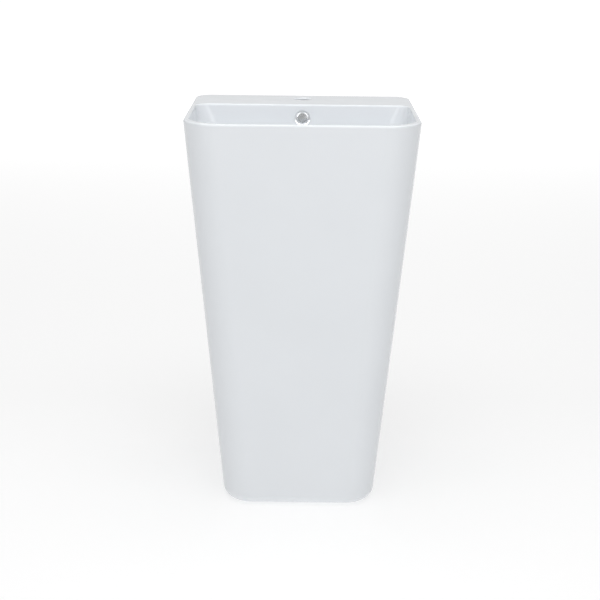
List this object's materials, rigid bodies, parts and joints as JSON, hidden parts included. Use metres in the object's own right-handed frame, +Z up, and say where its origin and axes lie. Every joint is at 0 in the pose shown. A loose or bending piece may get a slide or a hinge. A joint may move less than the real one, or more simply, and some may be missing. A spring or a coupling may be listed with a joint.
{
  "type": "pedestal washbasin",
  "caption": "One-piece glazed ceramic pedestal washbasin, with a tap deck, an overflow, a push waste, a bottle trap and floor fixings.",
  "frame": {"origin": "middle of the footprint of the whole assembly, on the floor", "axes": "+X to the right as the user faces the basin, +Y towards the wall, +Z up"},
  "size_m": [0.48, 0.46, 0.85],
  "materials": {
    "glazed_ceramic": "gloss white glaze",
    "chrome": "polished",
    "stainless": "drawn",
    "zinc_steel": "zinc plated",
    "brass": "turned",
    "white_plastic": "moulded",
    "nylon": "moulded",
    "rubber": "moulded"
  },
  "bodies": {
    "basin": {"ceramic_body": "glazed_ceramic", "overflow_ring": "chrome", "overflow_strainer": "chrome", "overflow_sleeve": "nylon", "overflow_seal": "rubber", "waste_body": "chrome", "waste_seal": "rubber", "boss_gasket": "rubber", "slip_washer": "nylon", "waste_locknut": "brass", "click_cartridge": "nylon", "click_spring": "stainless", "inlet_nut": "white_plastic", "inlet_gasket": "rubber", "dip_tube": "white_plastic", "head_nut": "white_plastic", "head_seal": "rubber", "trap_head": "white_plastic", "outlet_nut": "white_plastic", "outlet_seal": "rubber", "outlet_pipe": "white_plastic", "wall_rosette": "white_plastic", "left_floor_bracket": "zinc_steel", "right_floor_bracket": "zinc_steel", "left_bracket_plug": "nylon", "right_bracket_plug": "nylon", "left_side_screw": "stainless", "right_side_screw": "stainless", "left_cap_washer": "nylon", "right_cap_washer": "nylon", "left_cover_cap": "chrome", "right_cover_cap": "chrome"},
    "plug": {"plug_cap": "chrome", "plug_seal": "rubber", "plug_stem": "stainless"},
    "cup_seal_ring": {"cup_seal": "rubber"},
    "cup": {"trap_cup": "white_plastic"}
  },
  "joints": [
    {"name": "plug_press", "type": "slide", "parent": "basin", "child": "plug", "axis": [0, 0, -1], "range_m": [0, 0.009], "stiffness_N_per_m": 500, "springref_m": -0.01, "deforming": ["click_spring"]},
    {"name": "cup_drop", "type": "slide", "parent": "basin", "child": "cup_seal_ring", "axis": [0, 0, -1], "range_m": [0, 0.012]},
    {"name": "cup_turn", "type": "hinge", "parent": "cup_seal_ring", "child": "cup", "pos_m": [0, -0.08, 0.46], "axis": [0, 0, 1], "range_deg": [0, 1080]}
  ],
  "couplings": [
    {"joint": "cup_drop", "follows": "cup_turn", "m_per_rad": 0.00063662}
  ]
}
